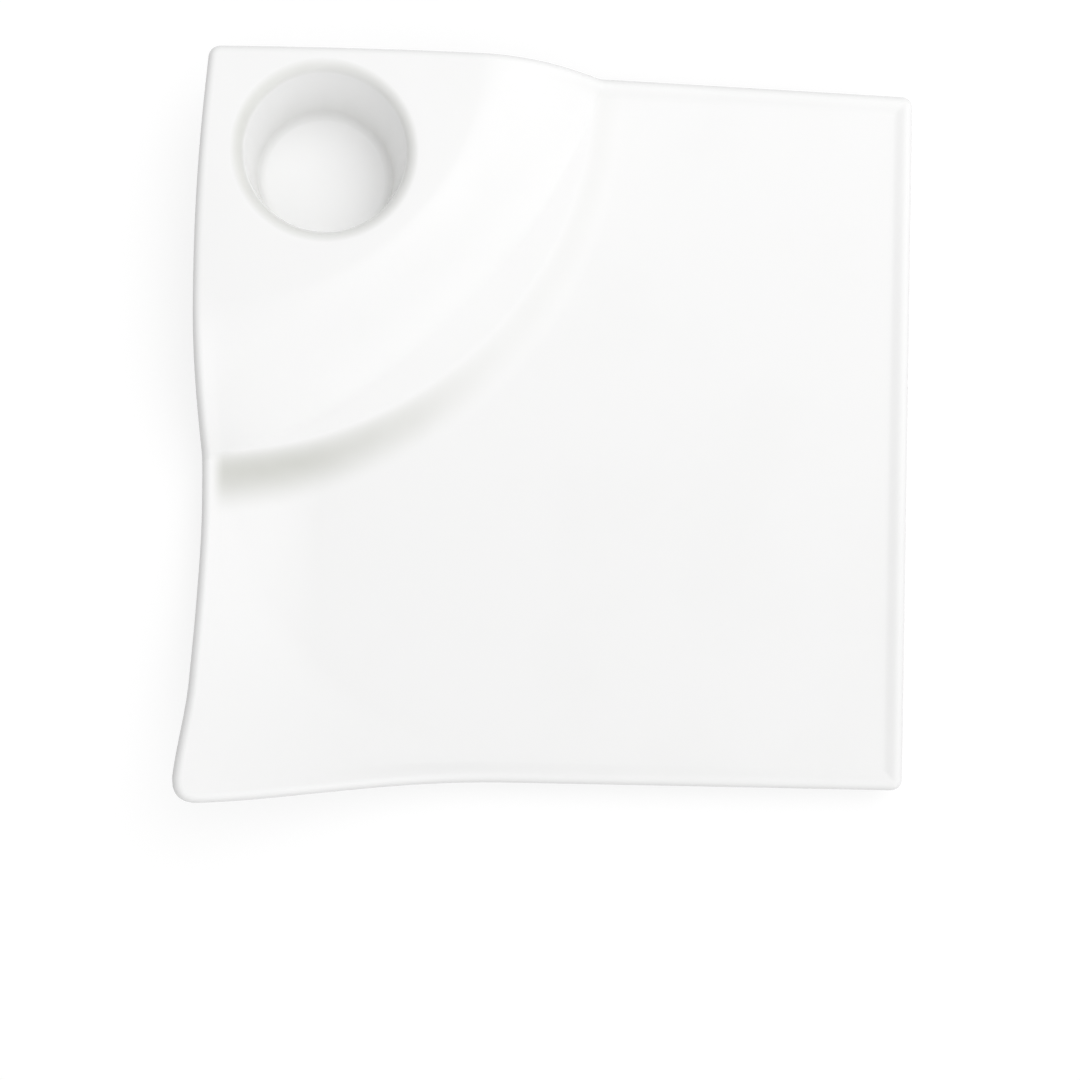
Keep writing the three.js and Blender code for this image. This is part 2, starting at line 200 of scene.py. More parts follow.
def between(start, end, count):
    """Even steps from start, without the end. Lists of starts and ends give one line each."""
    shares = np.linspace(0, 1, count, endpoint=False)
    return np.add.outer(start, 0 * shares) + np.multiply.outer(end - start, shares)


HUB = inner_corner(-1, 1)
FRONT_LEFT = inner_corner(-1, -1)
FRONT_RIGHT = inner_corner(1, -1)
BACK_RIGHT = inner_corner(1, 1)

front_ends = between(FRONT_LEFT, FRONT_RIGHT, FRONT_SPOKES)
right_ends = between(FRONT_RIGHT, BACK_RIGHT, RIGHT_SPOKES)
spoke_ends = np.concatenate([front_ends, right_ends, [BACK_RIGHT]])
reach = abs(spoke_ends - HUB)
aim = (spoke_ends - HUB) / reach
print("longest spoke in mm:", reach.max() / MM)

# %% Rows along the spokes
SLOPE_ROWS = 46
STEP_ROWS = 22
FIELD_ROWS = 38
CROSSING_PASSES = 4


def crossing(direction, pair):
    """How far from the hub each direction meets an arc."""
    along = ((HUB - BACK_LEFT) * direction.conjugate()).real
    radius = np.full(direction.shape, pair[0])
    for _ in range(CROSSING_PASSES):
        far = np.sqrt(along ** 2 - abs(HUB - BACK_LEFT) ** 2 + radius ** 2) - along
        met = HUB + far * direction - BACK_LEFT
        turn = np.clip(np.arctan2(met.real, -met.imag) / (np.pi / 2), 0, 1)
        radius = pair[0] + (pair[1] - pair[0]) * turn
    return far


at_slope, at_ridge, at_foot = (crossing(aim, pair) for pair in (slope_start, ridge, step_foot))
spoke_rows = np.hstack([
    between(at_slope, at_ridge, SLOPE_ROWS),
    between(at_ridge, at_foot, STEP_ROWS),
    between(at_foot, reach, FIELD_ROWS),
    reach[:, None],
])
spokes = HUB + aim[:, None] * spoke_rows
print("spokes and rows:", spokes.shape)

# %% [markdown]
# ## The line of the rim
# On the plate the rim is a low rounded bead. A bevel could round it, but its height has to fade into the field.
# So each point of the crest has a partner inside a narrow band, and rows between the two follow the edge and
# carry the bead. Beside the well the band narrows to half of the room that is left.

# %% Corners of the rim
CORNER_STEPS = 9
CORNER_FILL = 1.2 * MM
CORNER_ROUNDS = (1.2 * MM, 5 * MM, 1.2 * MM, 1.2 * MM)

inner_corners = np.array([HUB, FRONT_LEFT, FRONT_RIGHT, BACK_RIGHT])
sharp = np.sign(inner_corners.real) * CREST.real + 1j * np.sign(inner_corners.imag) * CREST.imag
to_next = np.roll(sharp, -1) - sharp
after = to_next / abs(to_next)
before = -np.roll(after, 1)


def corner_places(i):
    """Points of the crest line just before and after a corner, and their one partner inside."""
    far = np.linspace(-1, 1, CORNER_STEPS) * CORNER_FILL
    line = sharp[i] + np.where(far < 0, -far * before[i], far * after[i])
    return line, np.full(CORNER_STEPS, inner_corners[i]), np.full(CORNER_STEPS, RIM_BAND)


def rounded(line):
    """The crest line with its four corners bent round."""
    bent = line.copy()
    for corner, back, on, radius in zip(sharp, before, after, CORNER_ROUNDS):
        offset = line - corner
        near = abs(offset.real) + abs(offset.imag) < radius
        far = (offset[near] * (on - back).conjugate()).real
        share = (1 + far / radius) / 2
        bent[near] = corner + radius * ((1 - share) ** 2 * back + share ** 2 * on)
    return bent


print("corners of the crest line in mm:", sharp / MM)

# %% The rim beside the field and the well
WELL_STEPS = 64


def scaled(plan, across, up):
    return plan.real * across + 1j * plan.imag * up


def beside_field(inside):
    across = 1 / (1 - RIM_BAND / CREST.real)
    up = 1 / (1 - RIM_BAND / CREST.imag)
    return scaled(inside, across, up), inside, np.full(inside.shape, RIM_BAND)


def beside_well(end):
    """From the raised corner to the crest point beside the first row."""
    corner = complex(-CREST.real, CREST.imag)
    line = between(corner, beside_field(end)[0], WELL_STEPS)[1:]
    room = np.minimum(RIM_BAND, (abs(bowed(line) - WELL) - WELL_LIP_R) / 2)
    return line, scaled(line, 1 - room / CREST.real, 1 - room / CREST.imag), room


beside_left = beside_well(spokes[0, 0])
beside_back = [values[::-1] for values in beside_well(spokes[-1, 0])]
print("narrowest band beside the well in mm:", min(beside_left[2].min(), beside_back[2].min()) / MM)

# %% Lay the rim's line
stretches = [
    corner_places(0), beside_left, beside_field(spokes[0, :-1]),
    corner_places(1), beside_field(front_ends[1:]),
    corner_places(2), beside_field(right_ends[1:]),
    corner_places(3), beside_field(spokes[-1, -2::-1]), beside_back,
]
crest, inner, band = (np.concatenate(values) for values in zip(*stretches))
crest = rounded(crest)
along_rim = np.roll(bowed(crest), -1) - np.roll(bowed(crest), 1)
outward = -1j * along_rim / abs(along_rim)
print("points round the rim:", crest.size)

# %% [markdown]
# ## The flat pattern
# The pattern is a flat mesh whose points carry four notes for the press: `turn` is 1 on the upper face, -1
# beneath and something between on the rounded edge, `bead` is 1 on the crest of the rim, `out` points out of
# the edge, and the fourth note darkens the colour in the well: painted shade there, with a little glaze that
# has run together. Where the well is, the points also hold its own heights.

# %% A helper that collects the pattern
pattern = {"points": [], "faces": [], "turn": [], "bead": [], "shade_and_gather": [], "out": []}


def lay(plan, height=0.0, turn=1.0, bead=0.0, shade_and_gather=0.0, out=0.0, closed=False, flipped=False):
    """Adds a sheet of the pattern: lines of points, joined by four-sided faces."""
    shape = plan.shape
    first = sum(len(part) for part in pattern["points"])
    index = first + np.arange(plan.size).reshape(shape)
    if closed:
        index = np.vstack([index, index[:1]])
    corners = [index[:-1, :-1], index[:-1, 1:], index[1:, 1:], index[1:, :-1]]
    faces = np.stack(corners, axis=-1).reshape(-1, 4)
    given = (plan, height, turn, bead, shade_and_gather, out)
    plan, height, turn, bead, shade_and_gather, out = (np.broadcast_to(values, shape).ravel() for values in given)
    pattern["faces"].append(faces[:, ::-1] if flipped else faces)
    pattern["points"].append(np.stack([plan.real, plan.imag, height], axis=-1))
    pattern["turn"].append(turn)
    pattern["bead"].append(bead)
    pattern["shade_and_gather"].append(shade_and_gather)
    pattern["out"].append(np.stack([out.real, out.imag, 0 * out.real], axis=-1))


# %% Sheets of the field
lay(bowed(spokes), turn=1)
lay(bowed(spokes), turn=-1, flipped=True)
print("points of the field, above and beneath:", 2 * spokes.size)

# %% Sheet of the rim
BEAD_RUN = 5 * MM
EDGE_BLEND = 7 * MM
BLEND_SHARE = 0.8
FLAT_ROWS = 3
BEAD_ROWS = 9
EDGE_ROWS = 16
UNDER_ROWS = 6

flank = np.minimum(BEAD_RUN, band / 2)
under_run = np.minimum(EDGE_BLEND, band * BLEND_SHARE)
bead_share = np.linspace(0, 1, BEAD_ROWS)
edge_turn = np.linspace(1, -1, EDGE_ROWS)[1:-1]
under_share = np.linspace(1, 0, UNDER_ROWS)
band_rows = np.hstack([
    between(band, flank, FLAT_ROWS), between(flank, 0 * flank, BEAD_ROWS - 1),
    np.zeros((band.size, edge_turn.size + 2)),
    under_run[:, None] * (1 - under_share[1:]), band[:, None],
])
flat = np.zeros(FLAT_ROWS)
bead_rows = np.concatenate([flat, bead_share, np.ones(edge_turn.size), under_share, [0]])
turn_rows = np.concatenate([flat + 1, 0 * bead_share + 1, edge_turn, 0 * under_share - 1, [-1]])
rim_plan = crest[:, None] + (inner - crest)[:, None] * band_rows / band[:, None]
on_crest = (band_rows == 0) * outward[:, None]
lay(bowed(rim_plan), turn=turn_rows, bead=bead_rows, out=on_crest, closed=True)
print("points and rows of the rim:", rim_plan.shape)

# %% [markdown]
# ## The well in the pattern
# The well is a profile turned about an axis: a flat floor, a fillet, a tapered wall and a rounded lip inside,
# and a plain cup beneath. A Boolean could cut it too, but turned rows run on into the corner's top without a
# seam. The axis leans, so the floor lies a little nearer to the front than the lip. Heights are counted from
# the raised corner's upper and lower face, which the press adds.

# %% The well's axis and heights
RIM_TOP = 15 * MM
CORNER_RISE = 22 * MM
WELL_LIP_ROUND = 4.5 * MM
WELL_FLOOR_TOP = 7.5 * MM
WELL_FILLET = 3 * MM
WELL_LEAN = (-1 - 3j) * MM

top_z = RIM_TOP + CORNER_RISE
lip_z = top_z - WELL_LIP_ROUND
fillet_z = WELL_FLOOR_TOP + WELL_FILLET
around = np.concatenate([[HUB], beside_left[1], spokes[:, 0], beside_back[1]])
well_edge = bowed(around) - WELL
far_edge = abs(well_edge)[:, None]
spin = well_edge[:, None] / far_edge


def well_axis(height):
    """Where the well's axis is at a height over the table."""
    return WELL + WELL_LEAN * np.clip((lip_z - height) / (lip_z - WELL_FLOOR_TOP), 0, 1)


print("points round the well:", around.size)

# %% The profile inside the well
WELL_FLOOR_R = 24 * MM
FLOOR_ROWS = 5
ROUND_ROWS = 9
WALL_ROWS = 12

taper = np.arctan2(WELL_LIP_R - WELL_LIP_ROUND - WELL_FLOOR_R, lip_z - fillet_z)
fillet_turn = np.linspace(-np.pi / 2, -taper, ROUND_ROWS)
lip_turn = np.linspace(np.pi - taper, np.pi / 2, ROUND_ROWS)
fillet_line = WELL_FLOOR_R - WELL_FILLET + 1j * fillet_z + WELL_FILLET * np.exp(1j * fillet_turn)
lip_line = WELL_LIP_R + 1j * lip_z + WELL_LIP_ROUND * np.exp(1j * lip_turn)
wall_line = between(fillet_line[-1], lip_line[0], WALL_ROWS)[1:]
floor_line = between(1j * WELL_FLOOR_TOP, fillet_line[0], FLOOR_ROWS)
cup = np.concatenate([floor_line, fillet_line, wall_line, lip_line])
print("taper of the well's wall in degrees:", np.degrees(taper))

# %% Glaze that gathers in the well, and shade painted inside it
# Painted shade: the fillet, the lower wall and the lip of the well are darkened in colour where the well shades
# itself, more on the lip's left side, away from the light; a little of it is glaze gathered there.
WALL_SHADE_AND_POOL = 0.3
LIP_SHADE_AND_POOL = 0.45
LIP_SHADE_LEFT = 0.35

fillet_shade_and_pool = WALL_SHADE_AND_POOL * np.sqrt(np.linspace(0, 1, ROUND_ROWS))
wall_shade_and_pool = WALL_SHADE_AND_POOL * np.linspace(1, 0, WALL_ROWS)[1:] ** 2
left_share = np.clip(-spin.real, 0, 1)
lip_shade_and_pool = (LIP_SHADE_AND_POOL + LIP_SHADE_LEFT * left_share) * np.sin(np.linspace(0, np.pi, ROUND_ROWS))
print("most glaze on the lip:", lip_shade_and_pool.max())

# %% Sheet of the well's inside and the corner's top
PLATEAU_ROWS = 8

lip_start = cup.size - ROUND_ROWS
to_edge = WELL_LIP_R + (far_edge - WELL_LIP_R) * np.linspace(0, 1, PLATEAU_ROWS)[1:]
cup_far = np.hstack([np.tile(cup.real, (around.size, 1)), to_edge])
cup_height = np.append(cup.imag - top_z, np.zeros(PLATEAU_ROWS - 1))
cup_shade_and_pool = np.zeros(cup_far.shape)
cup_shade_and_pool[:, FLOOR_ROWS:lip_start] = np.append(fillet_shade_and_pool, wall_shade_and_pool)
cup_shade_and_pool[:, lip_start:cup.size] = lip_shade_and_pool
lay(well_axis(top_z + cup_height) + spin * cup_far, height=cup_height, shade_and_gather=cup_shade_and_pool, closed=True)
print("points and rows of the well's inside:", cup_far.shape)

# %% Sheet of the cup beneath
WALL = 5.4 * MM
WELL_WALL = 4.6 * MM
CLEARANCE = 0.3 * MM
BASE_SPREAD = np.sqrt(0.5)

under_z = top_z - WALL
base_z = WELL_FLOOR_TOP - WELL_WALL
wall_top = np.minimum(WELL_LIP_R - WELL_LIP_ROUND + WELL_WALL, far_edge - 2 * CLEARANCE)
hollow = np.minimum(wall_top + WELL_FILLET, far_edge - CLEARANCE)
quarter = np.linspace(0, np.pi / 2, ROUND_ROWS)
hollow_far = hollow - (hollow - wall_top) * np.sin(quarter)
hollow_drop = WELL_FILLET * (1 - np.cos(quarter))
base_far = WELL_FLOOR_R + WELL_WALL * BASE_SPREAD * np.cos(quarter)
base_drop = under_z - base_z - WELL_FILLET * (1 - np.sin(quarter))
down = np.linspace(0, 1, WALL_ROWS)[1:-1]
cup_wall = wall_top + (base_far[0] - wall_top) * down
wall_drop = hollow_drop[-1] + (base_drop[0] - hollow_drop[-1]) * down
base_rows = np.linspace(WELL_FLOOR_R, 0, FLOOR_ROWS)[1:]
plateau = far_edge + (hollow - far_edge) * np.linspace(0, 1, PLATEAU_ROWS)[:-1]
each = np.ones((around.size, 1))
under_far = np.hstack([plateau, hollow_far, cup_wall, each * base_far, each * base_rows])
plateau_drop = np.zeros(PLATEAU_ROWS - 1)
floor_drop = np.full(base_rows.size, base_drop[-1])
drop = np.concatenate([plateau_drop, hollow_drop, wall_drop, base_drop, floor_drop])
lay(well_axis(under_z - drop) + spin * under_far, height=-drop, turn=-1, closed=True)
print("points and rows of the cup beneath:", under_far.shape)

# %% [markdown]
# ## Joining the pattern
# The sheets share their border points, so the press can weld them later. The notes become attributes of the
# mesh, which a node tree reads by name.

# %% Make the pattern mesh
notes = {name: np.concatenate(values) for name, values in pattern.items()}
flat_mesh = bpy.data.meshes.new("plate_pattern")
flat_mesh.from_pydata(notes["points"].tolist(), [], notes["faces"].tolist())
# The third of these notes darkens the colour in the well as painted shade, with a little pooled glaze.
for name in ("turn", "bead", "shade_and_gather"):
    amounts = flat_mesh.attributes.new(name, "FLOAT", "POINT")
    amounts.data.foreach_set("value", notes[name].astype(np.float32))
outs = flat_mesh.attributes.new("out", "FLOAT_VECTOR", "POINT")
outs.data.foreach_set("vector", notes["out"].astype(np.float32).ravel())
glazed_plate = bpy.data.objects.new("glazed_plate", flat_mesh)
bpy.context.scene.collection.objects.link(glazed_plate)
print("pattern:", len(flat_mesh.vertices), "points,", len(flat_mesh.polygons), "faces")

# %% [markdown]
# ## The press
# A plate like this is pressed in a mould, so its height is a rule over its plan: a rim, a field that lies a
# little lower, the raised corner with its step, and the curl. It could be sculpted, but a rule suits a node
# tree, where each size is a named input that can be tried out by hand. The press also writes where the colour
# is darkened: along the step, most near the left edge, and round the well. That is painted shade in the
# step's crease and the well, with a little greener tint of glaze that has pooled there.

# %% Sizes of the press
FIELD_DROP = 1 * MM
FIELD_SAG = 4.3 * MM
SAG_FADE = 40 * MM
SLOPE_TUCK = 17 * MM
SLOPE_POWER = 2.1
RIDGE_SOFT = 0.5
UNDER_SHIFT = 2.2 * MM
CURL_RISE = 32.95 * MM
CURL_REACH = 58 * MM
CURL_RUN = 66 * MM
CURL_FULL = 44  # degrees from the plate's diagonal, as is the next
CURL_GONE = 63
FOLD_RUN = 40 * MM

fold_radius = abs(BACK_LEFT) - CURL_REACH
press_sizes = {
    "Rim top": RIM_TOP, "Edge thickness": EDGE_THICK, "Wall": WALL, "Under shift": UNDER_SHIFT,
    "Field drop": FIELD_DROP, "Field sag": FIELD_SAG, "Sag fade": SAG_FADE, "Corner rise": CORNER_RISE,
    "Slope start left": slope_start[0], "Slope start back": slope_start[1],
    "Slope end left": slope_end[0], "Slope end back": slope_end[1],
    "Slope tuck": SLOPE_TUCK, "Slope power": SLOPE_POWER, "Ridge softness": RIDGE_SOFT,
    "Ridge left": ridge[0], "Ridge back": ridge[1],
    "Step foot left": step_foot[0], "Step foot back": step_foot[1],
    "Curl rise": CURL_RISE, "Fold radius": fold_radius, "Curl run": CURL_RUN, "Fold run": FOLD_RUN,
    "Curl full": np.cos(np.radians(CURL_FULL)), "Curl gone": np.cos(np.radians(CURL_GONE)),
}
print("sizes of the press:", len(press_sizes))

# %% The press tree and its inputs
press = bpy.data.node_groups.new("plate_press", "GeometryNodeTree")
press.interface.new_socket("Geometry", in_out="INPUT", socket_type="NodeSocketGeometry")
press.interface.new_socket("Geometry", in_out="OUTPUT", socket_type="NodeSocketGeometry")
for name in press_sizes:
    press.interface.new_socket(name, in_out="INPUT", socket_type="NodeSocketFloat")
entry = press.nodes.new("NodeGroupInput")
desk = Wire(press)


def size(name):
    return Wire(press, entry.outputs[name])


def note(name, kind="FLOAT"):
    return desk.node("GeometryNodeInputNamedAttribute", {"data_type": kind}, {"Name": name}, "Attribute")


place = desk.node("GeometryNodeInputPosition")
x, y, own_height = (desk.node("ShaderNodeSeparateXYZ", {}, {0: place}, axis) for axis in "XYZ")
print("sockets of the press:", len(press.interface.items_tree))

# %% [markdown]
# ## Where a point lies
# Two distances steer the press: from the raised corner, for the slope and the step, and from the middle of the
# plate, for the fold of the curl. The curl also fades out sideways, by the angle from the plate's diagonal.


# %% Distances and angles
def length_of(across, along):
    return (across * across + along * along).math("SQRT")


from_corner_x = x - BACK_LEFT.real
from_corner_y = BACK_LEFT.imag - y
corner_radius = length_of(from_corner_x, from_corner_y)
corner_turn = from_corner_x.math("ARCTAN2", from_corner_y) / (np.pi / 2)
corner_turn = corner_turn.math("MAXIMUM", 0).math("MINIMUM", 1)
middle_radius = length_of(x, y)
toward_curl = (x + y) / (middle_radius.math("MAXIMUM", MM) * -np.sqrt(2))
sector = toward_curl.smooth(size("Curl gone"), size("Curl full"))
print("nodes for distances and angles:", len(press.nodes))


# %% Slope, step and curl
def blend(low, high, share):
    return low + (high - low) * share


def arc(name):
    return blend(size(name + " left"), size(name + " back"), corner_turn)


def on_slope(shift):
    """1 on the raised corner, 0 past its slope, which steepens to its foot along the two edges.

    Between the edges it ends sooner, as a soft S.
    """
    off_edges = corner_turn * (1 - corner_turn) * 4
    slope_foot = arc("Slope end") - size("Slope tuck") * off_edges
    share = (corner_radius + shift).straight(arc("Slope start"), slope_foot)
    edge_fall = share.math("POWER", size("Slope power"))
    return 1 - blend(edge_fall, share.smooth(0, 1), off_edges)


def along_step(shift):
    return (corner_radius + shift).straight(arc("Ridge"), arc("Step foot"))


def down_step(shift):
    """0 up to the ridge, 1 from the foot of the step on, and steepest not far below the ridge."""
    left = 1 - along_step(shift)
    return 1 - left * left * (1 + size("Ridge softness") * 2 * (1 - left))


def on_curl(shift, run):
    """0 up to the fold, and 1 in the curl from a run past it."""
    fold = size("Fold radius")
    return (middle_radius - shift).smooth(fold, fold + size(run)) * sector


def risen(shift):
    """Height of the rim, the raised corner and the curl."""
    corner = size("Corner rise") * on_slope(shift)
    return size("Rim top") + corner + size("Curl rise") * on_curl(shift, "Curl run")


# %% [markdown]
# ## The field
# Beside the rim the field lies just under the crest. From there it sags, towards the middle of the depth and
# more the further left, so the step is highest near the left edge and runs out on its way to the back edge.

# %% Depth of the field
half_width = WIDTH / 2
from_middle = y / (DEPTH / 2)
hollowness = (1 - from_middle * from_middle).math("MAXIMUM", 0)
sag_ends = (0 - x).smooth(half_width - size("Sag fade"), half_width)
sag = size("Field sag") * (1 - x / half_width) * hollowness * (1 - sag_ends)


def sunk(shift):
    """How far a point lies under the crest, away from the curl."""
    depth = size("Field drop") * (1 - on_slope(shift)) + sag * down_step(shift)
    return depth * (1 - on_curl(shift, "Fold run"))


# %% Upper face, lower face and the rounded edge
crest_share = note("bead").smooth(0, 1)
under_shift = size("Under shift")
upper = risen(0) - sunk(0) * (1 - crest_share)
lower = risen(under_shift) - blend(sunk(under_shift) + size("Wall"), size("Edge thickness"), crest_share)
quarter_turn = note("turn") * (np.pi / 2)
pressed_height = blend(lower, upper, (quarter_turn.math("SINE") + 1) / 2) + own_height
edge_bulge = quarter_turn.math("COSINE") * size("Edge thickness") / 2
print("nodes in the press so far:", len(press.nodes))

# %% [markdown]
# ## Pressing
# The last nodes note where shade is painted and glaze has pooled, put each point in its place, weld the sheets
# and hand the mesh on with its finish. The plate's box is centred on the frame's origin, so half of each
# one-sided bulge is taken up here.

# %% Where shade is painted and glaze has pooled
SHADE_AND_POOL_FULL = 0.08  # a share of the turn from the left edge to the back edge, as is the next
SHADE_AND_POOL_THIN = 0.55
SHADE_AND_POOL_LEFT_OVER = 0.15
SHADE_AND_POOL_PEAK = 27 / 4  # brings share * (1 - share) ** 2 to 1 at its highest

# Painted shade: the crease below the ridge is darkened in colour, most near the left edge and fading towards
# the back, with a little greener tint for glaze pooled there; the well's painted shade is added to it.
past_ridge = along_step(0)
on_step = past_ridge * (1 - past_ridge) * (1 - past_ridge) * SHADE_AND_POOL_PEAK
shade_and_pool_share = blend(1, SHADE_AND_POOL_LEFT_OVER, corner_turn.smooth(SHADE_AND_POOL_FULL, SHADE_AND_POOL_THIN))
shade_and_pool = on_step * shade_and_pool_share * (1 - crest_share) + note("shade_and_gather")
stored = desk.node(
    "GeometryNodeStoreNamedAttribute", {"data_type": "FLOAT", "domain": "POINT"},
    {"Geometry": size("Geometry"), "Name": "shade_and_pool", "Value": shade_and_pool},
)
print("nodes in the press with the pools:", len(press.nodes))

# %% Place, weld and paint
BOX_SHIFT = Vector((LEFT_BULGE / 2, FRONT_BULGE / 2, 0))
WELD = 0.01 * MM

glaze = bpy.data.materials.new("white_glaze")
glaze.use_nodes = True
out_way = note("out", "FLOAT_VECTOR")
lifted = desk.node("ShaderNodeCombineXYZ", {}, {"X": x, "Y": y, "Z": pressed_height})
pushed = desk.node("ShaderNodeVectorMath", {"operation": "SCALE"}, {0: out_way, "Scale": edge_bulge})
centred = desk.node("ShaderNodeVectorMath", {}, {0: lifted, 1: BOX_SHIFT})
pressed_place = desk.node("ShaderNodeVectorMath", {}, {0: centred, 1: pushed})
moved = desk.node("GeometryNodeSetPosition", {}, {"Geometry": stored, "Position": pressed_place})
welded = desk.node("GeometryNodeMergeByDistance", {}, {"Geometry": moved, "Distance": WELD})
softened = desk.node("GeometryNodeSetShadeSmooth", {}, {"Geometry": welded})
realized = desk.node("GeometryNodeRealizeInstances", {}, {"Geometry": softened})
painted = desk.node("GeometryNodeSetMaterial", {}, {"Geometry": realized, "Material": glaze})
painted.feed(press.nodes.new("NodeGroupOutput"), "Geometry")
print("nodes in the whole press:", len(press.nodes))

# %% Press the plate
modifier = glazed_plate.modifiers.new("press", "NODES")
modifier.node_group = press
for item in press.interface.items_tree:
    if item.in_out == "INPUT" and item.name in press_sizes:
        modifier[item.identifier] = float(press_sizes[item.name])
pressed = glazed_plate.evaluated_get(bpy.context.evaluated_depsgraph_get())
plate_mesh = bpy.data.meshes.new_from_object(pressed)
plate_mesh.name = "glazed_plate"
glazed_plate.modifiers.clear()
glazed_plate.data = plate_mesh
print("pressed plate:", len(plate_mesh.vertices), "points,", len(plate_mesh.polygons), "faces")

# %% [markdown]
# ## The glaze
# The glaze is a clear, glossy coat over white porcelain. It isn't perfectly even: it undulates slightly, is
# painted grey where shade falls in the step and the well, a little greener there where it has pooled, and
# holds a few tiny dark specks from the firing. A painted picture could show that, but noise on Object
# coordinates has no seam. The colour stays close to white elsewhere.

# %% Clouds, waves, painted shade with pools, and specks in the glaze
CLOUD_SCALE = 22
CLOUD_DETAIL = 3
WAVE_SCALE = 55
WAVE_DETAIL = 2
SPECK_SCALE = 24
SPECK_SIZE = 0.35 * MM
SPECK_CHANCE = 0.07

coat = Wire(glaze.node_tree)
spot = coat.node("ShaderNodeTexCoord", {}, {}, "Object")
cloud = coat.node("ShaderNodeTexNoise", {}, {"Vector": spot, "Scale": CLOUD_SCALE, "Detail": CLOUD_DETAIL})
wave = coat.node("ShaderNodeTexNoise", {}, {"Vector": spot, "Scale": WAVE_SCALE, "Detail": WAVE_DETAIL})
shade_and_pool_amount = coat.node("ShaderNodeAttribute", {"attribute_name": "shade_and_pool"}, {}, "Fac")
cell = coat.node("ShaderNodeTexVoronoi", {}, {"Vector": spot, "Scale": SPECK_SCALE}, "Color")
lottery = coat.node("ShaderNodeSeparateColor", {}, {"Color": cell}, "Red")
centre = coat.node("ShaderNodeTexVoronoi", {}, {"Vector": spot, "Scale": SPECK_SCALE}, "Distance")
drawn = lottery.math("LESS_THAN", SPECK_CHANCE)
speck = centre.math("LESS_THAN", SPECK_SIZE * SPECK_SCALE) * drawn
print("nodes for the glaze's marks:", len(glaze.node_tree.nodes))

# %% The glaze's colour and gloss
GLAZE_WHITE = (0.93, 0.93, 0.928, 1)
SHADED_POOLED_GLAZE = (0.66, 0.665, 0.63, 1)
SPECK_DARK = (0.28, 0.25, 0.22, 1)
SHADE_AND_POOL_TINT = 0.75
SHADE_AND_POOL_MOTTLE = 0.4
CLOUD_RANGE = (0.45, 0.75)
CLOUD_TINT = 0.04
GLAZE_ROUGH = 0.05
CLOUD_ROUGH = 0.06
WAVE_STRENGTH = 0.12
WAVE_HEIGHT = 0.4 * MM
GLAZE_IOR = 1.5

shader = glaze.node_tree.nodes["Principled BSDF"]
# Painted shade: the step and the well turn grey-olive in colour as shade painted into them, with a slight green
# of pooled glaze.
shade_and_pool_mix = shade_and_pool_amount * (wave * SHADE_AND_POOL_MOTTLE + SHADE_AND_POOL_TINT)
clouded = cloud.smooth(*CLOUD_RANGE) * CLOUD_TINT
tint = (shade_and_pool_mix + clouded).colour(GLAZE_WHITE, SHADED_POOLED_GLAZE)
undulation = {"Strength": WAVE_STRENGTH, "Distance": WAVE_HEIGHT, "Height": wave}
speck.colour(tint, SPECK_DARK).feed(shader, "Base Color")
(cloud * CLOUD_ROUGH + GLAZE_ROUGH).feed(shader, "Roughness")
coat.node("ShaderNodeBump", {}, undulation).feed(shader, "Normal")
shader.inputs["IOR"].default_value = GLAZE_IOR
print("glaze nodes:", len(glaze.node_tree.nodes))

# %% [markdown]
# ## The foot rings
# Under the plate two rings carry it, and their treads are wiped clean of glaze so that they don't stick in the
# kiln. A torus would lack the flat tread, so a ring is a profile turned about an axis. The glaze runs down its
# sides and ends in a wavering line just above the tread, where the bare porcelain shows, matt and a little
# creamier.

# %% Helpers for the foot rings
FOOT_DRAFT = 0.6 * MM
FOOT_ROUND = 0.7 * MM
FOOT_SIDES = 180


def foot_profile(radius, tread, root):
    """Half a section of the ring, up its outer side and down its inner side, as radius and height."""
    turn = np.linspace(-np.pi / 2, 0, ROUND_ROWS)
    side = tread / 2 - FOOT_ROUND + 1j * FOOT_ROUND + FOOT_ROUND * np.exp(1j * turn)
    outer_side = np.append(side, tread / 2 + FOOT_DRAFT + 1j * root)
    inner_side = -outer_side.conjugate()[::-1]
    return radius + np.concatenate([outer_side, inner_side])


def ring(middle, profile):
    """Points and faces of a profile turned about an upright axis."""
    turned = np.exp(2j * np.pi * np.arange(FOOT_SIDES) / FOOT_SIDES)[:, None]
    plan = middle + turned * profile.real
    height = np.broadcast_to(profile.imag, plan.shape)
    index = np.arange(plan.size).reshape(plan.shape)
    index = np.pad(index, ((0, 1), (0, 1)), mode="wrap")
    corners = [index[:-1, :-1], index[1:, :-1], index[1:, 1:], index[:-1, 1:]]
    points = np.stack([plan.real, plan.imag, height], axis=-1).reshape(-1, 3)
    return points, np.stack(corners, axis=-1).reshape(-1, 4)


# %% Shapes of the foot rings
FIELD_FOOT_R = 45 * MM
FIELD_FOOT_FROM_RIGHT = 97 * MM
FIELD_FOOT_FROM_FRONT = 98 * MM
FIELD_FOOT_TREAD = 5 * MM
FIELD_FOOT_ROOT = 7.8 * MM
WELL_FOOT_R = 18 * MM
WELL_FOOT_TREAD = 4 * MM
WELL_FOOT_ROOT = WELL_FLOOR_TOP - WELL_WALL / 2

